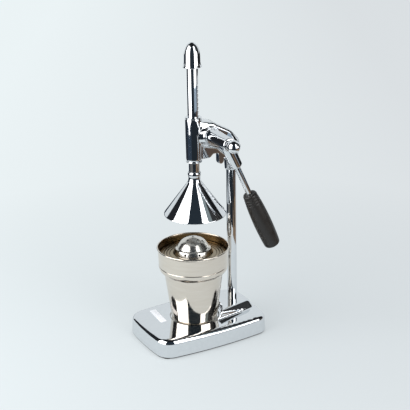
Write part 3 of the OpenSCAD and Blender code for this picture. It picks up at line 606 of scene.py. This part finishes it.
def barrel(y, z, half, radius):
    """The rings of a round bar across the head, its ends eased."""
    return [bar("barrel", (-half + ease, y, z), (half - ease, y, z), radius - less, 96)
            for ease, less in ((3.5, 0), (1, 1.1), (0, 3.2))]


def pinion_bar(name, start, end, radius):
    """A round bar along the pinion's axis, from one place across the head to another."""
    return bar(name, (start, pinion_y, pinion_z), (end, pinion_y, pinion_z), radius, 96)


shoulder = dict(y=36, z=246, half=9, radius=13)       # where the arm turns down to the column
housing = wrap("housing", *barrel(pinion_y, pinion_z, 9.5, 15.6))
arm = wrap("arm", *barrel(pinion_y, pinion_z, 9.5, 15.2), *barrel(**shoulder))
knee = wrap("knee", *barrel(**shoulder), bar("end", (0, column_y, 223), (0, column_y, 224), 8.8, 64),
            add("uv_sphere", "end", (0, column_y, 237), segments=64, ring_count=32, radius=10 * mm))
boss = pinion_bar("boss", 0, 14.5, 10.5)

# The web's outline, with the arch between the sleeve and the column.
web = add("plane", "web", (0, 0, 0), size=1)
edit(web)
bpy.ops.mesh.select_mode(type="VERT")
bpy.ops.mesh.select_all(action="SELECT")
bpy.ops.mesh.merge(type="CENTER")
arch_y, arch_z, arch_radius = 25.5, 222, 7
outline = [(ram_y, 225), (17.5, 225)]
outline += [(arch_y - arch_radius * math.cos(math.radians(a)),
             arch_z + arch_radius * math.sin(math.radians(a))) for a in range(30, 171, 10)]
outline += [(33, arch_z), (43, arch_z), (43, 243), (ram_y, pinion_z)]
last = Vector((0, 0, 0))
for y, z in outline:
    point = Vector((-3.5, y, z)) * mm
    bpy.ops.mesh.extrude_vertices_move(TRANSFORM_OT_translate={"value": point - last})
    last = point
pick("VERT", lambda c: c[0].length < 1)
bpy.ops.mesh.delete(type="VERT")
bpy.ops.mesh.select_all(action="SELECT")
bpy.ops.mesh.edge_face_add()
bpy.ops.mesh.extrude_region_move(TRANSFORM_OT_translate={"value": (7 * mm, 0, 0)})
bpy.ops.mesh.select_all(action="SELECT")
bpy.ops.mesh.normals_make_consistent(inside=False)
bpy.ops.object.mode_set(mode="OBJECT")
lug = wrap("lug", add("cube", "lug", (0, 33.5, 224.5), (7, 7, 13), size=1),
           bar("lug", (-3.5, 33.5, 218), (3.5, 33.5, 218), 3.5, 48))
sleeve = turned("sleeve", [(0, sleeve_foot)] + rounded([(7, sleeve_foot), (8.6, 224.5), (9.3, 226),
    (9.6, 255.2), (9.6, 275.4), (9, sleeve_top)], 0.8) + [(0, sleeve_top)], ram_axis)
socket = turned("socket", [(0, 205)] + rounded([(6.9, 205), (7.8, 205.9), (9.2, 225), (9.8, 238)],
    0.6) + [(0, 238)], column_axis)
root = wrap("root", bar("end", (-1, 2, 253.5), (0, 3, 253.5), 9.4, 96), pinion_bar("end", 9, 14.2, 10))
root_top = wrap("root", bar("end", (0, ram_y, 250), (0, ram_y, 273), 8.8, 96),
                *barrel(pinion_y, pinion_z, 9, 15.5))
head = join("head", housing, arm, knee, boss, root, root_top, web, lug, sleeve, socket)
cast(head, 0.5, 7)
below, above = 200, 300                               # heights clear of the casting
for name, low, high, radius in (("ram_bore", below, above, 6.9),
                                ("guide_seat", below, sleeve_foot + 7, 7.95),
                                ("guide_seat", sleeve_top - 7, above, 7.95)):
    cut(head, bar(name, (0, ram_y, low), (0, ram_y, high), radius, 96))
cut(head, pinion_bar("pinion_room", -12, 5, 14.2))
cut(head, pinion_bar("bush_bore", 0, 20, 7.05))
cut(head, bar("column_bore", (0, column_y, below), (0, column_y, 237.5), 6.05, 96))
cut(head, bar("screw_bore", (0, 26, 220.5), (0, 47, 220.5), 2.05, 32))
finish(head, 40)
fit(head, "stand", "plated_casting", plated, "head_casting")


# ---- Guides: two flanged rings of plated steel pressed into the ends of the sleeve.
# The ram slides in them. The lower one's flange has a short nose under it.
upper = turned("guide_ring_upper", rounded([(6.55, -3), (6.55, -7), (7.9, -7), (7.9, 0), (9.5, 0),
    (9.7, 0.8), (9.1, 1.6), (6.55, 1.6), (6.55, -3)], 0.35), (0, ram_y * mm, sleeve_top * mm))
finish(upper)
fit(upper, "stand", "polished_chrome", polished, "upper_guide")
lower = turned("guide_ring_lower", rounded([(6.55, 4), (6.55, 7), (7.9, 7), (7.9, 0), (9.5, 0),
    (9.7, -0.8), (7.9, -0.8), (7.9, -1.6), (6.55, -1.6), (6.55, 4)], 0.3),
    (0, ram_y * mm, sleeve_foot * mm))
finish(lower)
fit(lower, "stand", "polished_chrome", polished, "lower_guide")


# ---- Bush and far cover: the pinion's two bearings. The bush is sintered bronze, and the cover is
# a plated plate let into the housing, with the lever shaft's far end in its boss.

# Sintered bronze is dull, and oil stains it in patches of 5 mm. Its pores are drawn 0.6 mm wide,
# coarser than the real ones, so that they show.
bronze, tree, surface, place = new_material("sintered_bronze")
pores = node(tree, "ShaderNodeTexNoise", Vector=place, Scale=1800.0, Detail=3.0)
oil = node(tree, "ShaderNodeTexNoise", Vector=place, Scale=200.0, Detail=3.0)
tone = node(tree, "ShaderNodeMix", {"data_type": "RGBA"}, i0=oil.outputs[0],
            i6=colour("8A6A3C"), i7=colour("B08A4E"))
bump = node(tree, "ShaderNodeBump", Strength=0.5, Distance=0.00003, Height=pores.outputs[0])
coat(tree, surface, tone, 0.36, bump)
coat_node("pinion_bush", bronze)
coat_node("housing_cover", plated)


# ---- Ram: a ground steel bar with a rack milled along a flat on its back.
# The rack's notches lie 5.03 mm apart. Its foot is turned down to a stud for the cone.
ram = turned("ram_bar", rounded([(0, 185.5), (3.5, 185.5), (3.5, 198.5), (6.5, 198.5), (6.5, 348),
    (0, 348)], 0.4), ram_axis)
flat_y, flat_foot, flat_top = 4.4, 239.92, 320.35
cut(ram, add("cube", "flat", (0, flat_y + 5, (flat_foot + flat_top) / 2),
             (16, 10, flat_top - flat_foot), size=1))

# Each notch is a wedge that narrows from its mouth, clear of the flat, to its floor.
rack_pitch, first_notch, notch_count = 5.0265, 244.947, 15
mouth_width, floor_width = 2 * 2.353, 2 * 0.679
notches = []
for i in range(notch_count):
    middle = first_notch + rack_pitch * i
    notch = add("cube", "notch", (0, 3.42, middle), (16, 4.6, 1), size=1)
    edit(notch)
    pick("FACE", lambda c: min(p.y for p in c) > 5)
    bpy.ops.transform.resize(value=(1, 1, mouth_width), center_override=(0, 0, middle * mm))
    pick("FACE", lambda c: max(p.y for p in c) < 2)
    bpy.ops.transform.resize(value=(1, 1, floor_width), center_override=(0, 0, middle * mm))
    bpy.ops.object.mode_set(mode="OBJECT")
    notches.append(notch)
cut(ram, join("notches", *notches))
finish(ram)
fit(ram, "ram", "polished_chrome", polished, "ram_rod")


# ---- Cap and cone: a bell-shaped cap pressed on the ram's head, and the press cone on its foot.
# Both are turned outside and plated. A hex nut under the cone's floor holds it on the ram's stud.
def arc(middle, reach, start, end, steps):
    """Points on an ellipse about a middle, between two angles."""
    turns = [math.radians(start + (end - start) * i / steps) for i in range(steps + 1)]
    return [(middle[0] + reach[0] * math.cos(a), middle[1] + reach[1] * math.sin(a)) for a in turns]


cap_foot, cone_rim = 336, 157.5                       # heights
cap = turned("bell_finial", rounded([(0, 12.2), (6.55, 12.2), (6.55, 0), (10.3, 0), (10.8, 0.5),
    (10.8, 1.1), (9.9, 2.8), (9.4, 5.6)], 0.3) + arc((0, 13.05), (9.2, 15.95), 0, 90, 24),
    (0, ram_y * mm, cap_foot * mm))
finish(cap)
fit(cap, "ram", "polished_chrome", polished, "bell_cap")
cone = turned("cone_press", rounded([(7.05, 53), (6.55, 52.6), (6.55, 41), (3.7, 41), (3.7, 36),
    (6.4, 36), (6.4, 30.3), (34.7, 0), (36.9, 0), (37.3, 0.5), (37.1, 1.3), (9.8, 38.3), (8.1, 40.5),
    (7.3, 43.7), (7.1, 46), (7.4, 48.1), (7.8, 49.3), (7.8, 51.7), (7.05, 53)], 0.9),
    (0, ram_y * mm, cone_rim * mm), steps=144)
finish(cone, 50)
fit(cone, "ram", "polished_chrome", polished, "press_cone")


def line_inside(piece, centre, material):
    """Gives a second material to the faces that look at a piece's upright axis, or down."""
    piece.data.materials.append(material)
    for face in piece.data.polygons:
        out = (face.center - Vector(centre)).to_2d()
        if face.normal.to_2d().dot(out) < -0.2 * out.length or face.normal.z < -0.3:
            face.material_index = 1


# Chrome over a surface as cast, inside the cone, where no wheel reaches: pale and satin, with the
# mould's grain of 1.1 mm.
as_cast, tree, surface, place = new_material("chrome_on_rough_casting")
sand = node(tree, "ShaderNodeTexNoise", Vector=place, Scale=900.0, Detail=4.0)
tone = node(tree, "ShaderNodeMix", {"data_type": "RGBA"}, i0=sand.outputs[0],
            i6=colour("D3D5D6"), i7=colour("E6E7E8"))
bump = node(tree, "ShaderNodeBump", Strength=0.4, Distance=0.00003, Height=sand.outputs[0])
coat(tree, surface, tone, 0.34, bump)
line_inside(cone, ram_axis, as_cast)


# ---- Pinion: fifteen teeth cut on the lever's shaft, left as machined and oiled.
# Oil darkens it in clouds of 4.5 mm, over cutter marks 0.25 mm apart.
oiled, tree, surface, place = new_material("oiled_machined_steel")
film = node(tree, "ShaderNodeTexNoise", Vector=place, Scale=220.0, Detail=4.0)
marks = node(tree, "ShaderNodeMapping", Vector=place, Scale=(300.0, 4000.0, 4000.0))
marks = node(tree, "ShaderNodeTexNoise", Vector=marks.outputs[0], Scale=1.0, Detail=2.0)
tone = node(tree, "ShaderNodeMix", {"data_type": "RGBA"}, i0=film.outputs[0],
            i6=colour("6E6C68"), i7=colour("A2A19E"))
gloss = node(tree, "ShaderNodeMapRange", i0=film.outputs[0], i1=0.3, i2=0.7, i3=0.22, i4=0.4)
bump = node(tree, "ShaderNodeBump", Strength=0.5, Distance=0.00001, Height=marks.outputs[0])
coat(tree, surface, tone, gloss, bump)
coat_node("pinion", oiled)


# ---- Lever hub: a plated casting pinned to the shaft, with the lever's socket across its end.
# The socket points back and down, 65.2 degrees below the horizontal.
dip = math.radians(65.2)
slope = Vector((0, math.cos(dip), -math.sin(dip)))
tee_at = Vector((45.5, pinion_y, pinion_z))
hub = join(
    "lever_boss",
    turned("hub", [(0, 14.8)] + rounded([(8.8, 14.8), (9.5, 15.4), (8.4, 37.2), (8.2, 54.4),
        (7.4, 55.3)], 0.7) + [(0, 55.3)], pinion_at * mm, (1, 0, 0)),
    turned("tee", [(0, 0)] + rounded([(7.3, 0), (7.3, 32.6), (6.4, 33.5)], 0.6) + [(0, 33.5)],
        tee_at * mm, slope))
cast(hub, 0.36, 8)
cut(hub, pinion_bar("shaft_bore", 10, 60, 5.05))
cut(hub, bar("lever_bore", tee_at + slope * 9, tee_at + slope * 50, 3.55, 64))
cut(hub, bar("pin_bore", (20.8, pinion_y, 240), (20.8, pinion_y, 270), 1.6, 32))
finish(hub, 40)
fit(hub, "lever", "plated_casting", plated, "lever_hub")

ball = turned("ball_nut", rounded([(0, 59.7), (5.05, 59.7), (5.05, 55.3), (6.54, 55.3),
    (6.54, 59.1)], 0.3) + arc((0, 63.38), (7.6, 7.6), -31, 90, 28), pinion_at * mm, (1, 0, 0))
finish(ball)
fit(ball, "lever", "polished_chrome", polished, "hub_nut")


# ---- Lever: a plated steel rod driven into the hub's socket, with a black grip on its end.
rod = turned("lever_bar", rounded([(0, 9.2), (3.5, 9.2), (3.5, 141.7), (0, 141.7)], 0.3),
    tee_at * mm, slope, steps=64)
finish(rod)
fit(rod, "lever", "polished_chrome", polished, "lever_rod")


# ---- Grip: moulded black phenolic, fattest past its middle, with three rings by the rod.
# The mould leaves a dull satin skin with a pebble grain of 0.8 mm, and hands rub it in wide patches.
phenolic, tree, surface, place = new_material("moulded_black_phenolic")
pebble = node(tree, "ShaderNodeTexNoise", Vector=place, Scale=1300.0, Detail=3.0)
rub = node(tree, "ShaderNodeTexNoise", Vector=place, Scale=90.0, Detail=5.0)
tone = node(tree, "ShaderNodeMix", {"data_type": "RGBA"}, i0=rub.outputs[0],
            i6=colour("131110"), i7=colour("221E1B"))
gloss = node(tree, "ShaderNodeMapRange", i0=rub.outputs[0], i1=0.3, i2=0.7, i3=0.36, i4=0.5)
bump = node(tree, "ShaderNodeBump", Strength=0.5, Distance=0.00005, Height=pebble.outputs[0])
coat(tree, surface, tone, gloss, bump, metallic=0.0)


grip_length, grip_start = 79, 74.7       # in mm, and along the lever from its socket
fattest, fattest_at, hollowing = 10.87, 0.58, 8


def grip_radius(length):
    """The grip's radius in mm at a length from its rod end: it swells, then draws in again."""
    return fattest - hollowing * (length / grip_length - fattest_at) ** 2


grip_profile = [(0, 67.2), (3.55, 67.2), (3.55, 0), (6.8, 0), (7.8, 0.5), (grip_radius(1.6), 1.6)]
for i in range(3):
    for off, depth in ((-1.1, 0), (-0.5, 0.42), (0, 0.5), (0.5, 0.42), (1.1, 0)):
        length = 5 + 3.6 * i + off
        grip_profile.append((grip_radius(length) - depth, length))
grip_profile = rounded(grip_profile + [(grip_radius(z), z) for z in range(16, 75, 4)], 0.4)
grip_profile += [(grip_radius(75) - 3.5 * (1 - math.cos(math.radians(a))),
                  75 + 3 * math.sin(math.radians(a))) for a in range(0, 76, 5)]
grip_profile += [(5.5, 78.35), (3.5, 78.75), (1.7, 78.95)]
grip = turned("lever_grip", grip_profile + [(0, grip_length)], (tee_at + slope * grip_start) * mm,
              slope, 96)
finish(grip, 60)
fit(grip, "lever", "black_grip", phenolic, "grip")


# ---- Cup: spun from one sheet of nickel-plated steel, with a straight band over a round shoulder.
# Its rim is rolled out to a bead, and its foot stands loose in the base's seat.
cup_wall = 1
cup_outside = arc((25.4, 3), (3, 3), -90, 0, 8) + [(35.8, 60.5), (36.05, 61.7)]
cup_outside += arc((36.6, 70.5), (5.7, 8), -80, 0, 12)
cup_inside = arc((25.4, 3), (3 - cup_wall, 3 - cup_wall), -90, 0, 6)
cup_inside += [(35.8 - cup_wall, 60.5), (36.05 - cup_wall, 61.7)]
cup_inside += arc((36.6, 70.5), (5.7 - cup_wall, 8 - cup_wall), -80, 0, 12)
cup = turned("cup_shell", [(0, 0)] + cup_outside + rounded([(42.3, 70.5), (42.31, 70.9),
    (41.95, 71.2), (41.95, 71.7), (42.34, 72), (43, 91), (43.8, 92.2), (44, 93.2), (43.5, 94),
    (42.6, 93.9), (42, 91), (41.3, 70.5)], 0.4)[1:-1]
    + cup_inside[::-1] + [(0, cup_wall)], (0, cup_y * mm, seat_floor * mm), steps=160)
bead_top = 116.2                         # height at which the top of the bead starts
rim_way = max(item.value for item, corner in zip(cup.data.attributes["way"].data, cup.data.vertices)
              if corner.co.z > bead_top * mm)
finish(cup, 50)

# Spun nickel-plated steel: warm and nearly a mirror, with soft rings from 4 mm down left by the spinning
# tool, coarser than the real 0.3 mm ones, and long wipe marks. Past the rim, where the buffing wheel
# doesn't reach, it stays satin, and its colour there is a dark brown painted shade: a painted reflection
# of the dark ceiling and of the cup's own walls.
spun, tree, surface, place = new_material("spun_nickel_steel")
way = node(tree, "ShaderNodeAttribute", {"attribute_name": "way"}).outputs["Fac"]
rings = node(tree, "ShaderNodeTexNoise", {"noise_dimensions": "1D"}, W=way, Scale=250.0,
             Detail=6.0, Roughness=0.6)
wipe = node(tree, "ShaderNodeMapping", Vector=place, Scale=(40.0, 40.0, 260.0))
wipe = node(tree, "ShaderNodeTexNoise", Vector=wipe.outputs[0], Scale=1.0, Detail=4.0)
both = node(tree, "ShaderNodeMath", {"operation": "MULTIPLY"}, i0=rings.outputs[0], i1=wipe.outputs[0])
tone = node(tree, "ShaderNodeMix", {"data_type": "RGBA"}, i0=wipe.outputs[0],
            i6=colour("DACFC1"), i7=colour("E8E0D6"))
# Painted shade: the dark brown over the top of the bead and down the inside, for the reflected dark room
# and walls.
painted_inner_shade = node(tree, "ShaderNodeMix", {"data_type": "RGBA"}, i0=rings.outputs[0],
               i6=colour("5E4C33"), i7=colour("8C7350"))
inside = node(tree, "ShaderNodeMapRange", i0=way, i1=rim_way, i2=rim_way + 2 * mm, i3=0.0, i4=1.0)
tone = node(tree, "ShaderNodeMix", {"data_type": "RGBA"}, i0=inside.outputs[0],
            i6=tone.outputs[2], i7=painted_inner_shade.outputs[2])
gloss = node(tree, "ShaderNodeMapRange", i0=both.outputs[0], i1=0.15, i2=0.4, i3=0.07, i4=0.15)
gloss = node(tree, "ShaderNodeMath", {"operation": "MULTIPLY_ADD"}, i0=inside.outputs[0], i1=0.2,
             i2=gloss.outputs[0])
bump = node(tree, "ShaderNodeBump", Strength=0.6, Distance=0.00002, Height=rings.outputs[0])
coat(tree, surface, tone, gloss, bump)
fit(cup, "cup", "satin_steel", spun, "juice_cup")


# ---- Strainer: pressed from thinner sheet, a stepped dome on a flat flange with a skirt below.
# It stands loose on the cup's shoulder. Its juice holes are punched: 1 on top, 6 round it, 8 low.

# The sheet's two faces lie some 0.8 mm apart, and three rings are pressed into its flange.
outer_line = [(40.9, 0), (40.9, 16.03), (39.9, 17.03)]
inner_line = [(40.1, 0), (40.1, 15.2), (39.4, 16.23), (24.1, 16.23), (22.9, 17.03), (20.8, 23.8),
              (19.9, 24.3), (18.9, 25.03), (14.89, 30.6), (13.3, 31.93), (9.6, 33.9), (4.6, 35.95),
              (0, 36.7)]
for radius in (35.5, 32, 28.5):
    outer_line += [(radius + 0.7, 17.03), (radius, 16.7), (radius - 0.7, 17.03)]
outer_line += [(24.4, 17.03), (23.6, 17.83), (21.5, 24), (20.6, 24.72), (19.7, 25.43),
               (15.69, 31.13)]
outer_line = rounded(outer_line + [(13.6, 33.2)], 0.6) + [
    (12, 34.2), (10.4, 35), (8.8, 35.65), (7, 36.25), (5.2, 36.75), (3.4, 37.15), (1.7, 37.4), (0, 37.5)]
strainer_foot = 90.57
strainer = turned("strainer_dome", rounded(inner_line[::-1], 0.5) + outer_line,
                  (0, cup_y * mm, strainer_foot * mm), steps=160)
holes = [bar("hole", (0, cup_y, 120), (0, cup_y, 135), 1.25, 24)]
for angle, reach in [(-74.2 + 90 * i, 8.61) for i in range(4)] + [(37.8, 12.27), (217.8, 12.27)]:
    a = math.radians(angle)
    x, y = reach * math.cos(a), cup_y + reach * math.sin(a)
    holes.append(bar("hole", (x, y, 117), (x, y, 135), 1.25, 24))
low_row = 112.3                          # height of the eight low holes
for i in range(8):
    a = math.radians(36.4 + 45 * i)
    holes.append(bar("hole", *((reach * math.cos(a), cup_y + reach * math.sin(a), low_row)
                               for reach in (14, 28)), 1.3, 24))
cut(strainer, join("holes", *holes))
finish(strainer, 50)

# Pressed nickel-plated steel: like the cup, but with bright drawn marks 1.1 mm wide that run with the
# sheet's grain, over dents some 8 mm apart left by the press tool. The flange, which lies below the
# dome's foot, down in the cup, is painted a darker brown as a painted shade, and the dome above it takes
# a paler lit copy of the colour.
pressed, tree, surface, place = new_material("pressed_nickel_steel")
grain = node(tree, "ShaderNodeMapping", Vector=place, Scale=(60.0, 900.0, 900.0))
grain = node(tree, "ShaderNodeTexNoise", Vector=grain.outputs[0], Scale=1.0, Detail=4.0)
dents = node(tree, "ShaderNodeTexNoise", Vector=place, Scale=120.0, Detail=2.0)
height = node(tree, "ShaderNodeSeparateXYZ", Vector=place)
dome = node(tree, "ShaderNodeMapRange", i0=height.outputs["Z"], i1=108 * mm, i2=109 * mm, i3=0.0, i4=1.0)
# Painted shade: a dark brown copy of the steel's colour below the dome's foot, and a paler lit copy
# above it.
tone = node(tree, "ShaderNodeMix", {"data_type": "RGBA"}, i0=grain.outputs[0],
            i6=colour("84755D"), i7=colour("A39680"))
bright = node(tree, "ShaderNodeMix", {"data_type": "RGBA"}, i0=grain.outputs[0],
              i6=colour("D2CEC6"), i7=colour("E2DFD9"))
tone = node(tree, "ShaderNodeMix", {"data_type": "RGBA"}, i0=dome.outputs[0], i6=tone.outputs[2],
            i7=bright.outputs[2])
gloss = node(tree, "ShaderNodeMapRange", i0=grain.outputs[0], i1=0.3, i2=0.7, i3=0.17, i4=0.26)
low = node(tree, "ShaderNodeBump", Strength=1.0, Distance=0.00005, Height=dents.outputs[0])
bump = node(tree, "ShaderNodeBump", Strength=0.3, Distance=0.00001, Height=grain.outputs[0],
            Normal=low.outputs[0])
coat(tree, surface, tone, gloss, bump)
fit(strainer, "strainer", "satin_steel", pressed, "strainer")

# The strainer's underside, down in the cup and seen through its holes, is a dull near-black brown, a
# painted shade, mottled in patches of 6 mm.
painted_underside_shade, tree, surface, place = new_material("painted_shade_under_strainer")
shade_patches = node(tree, "ShaderNodeTexNoise", Vector=place, Scale=160.0, Detail=5.0)
tone = node(tree, "ShaderNodeMix", {"data_type": "RGBA"}, i0=shade_patches.outputs[0],
            i6=colour("1A150F"), i7=colour("3A2F22"))
coat(tree, surface, tone, 0.45)
line_inside(strainer, cup_axis, painted_underside_shade)


# ---- Last: the view layer is brought up to date.
bpy.context.view_layer.update()
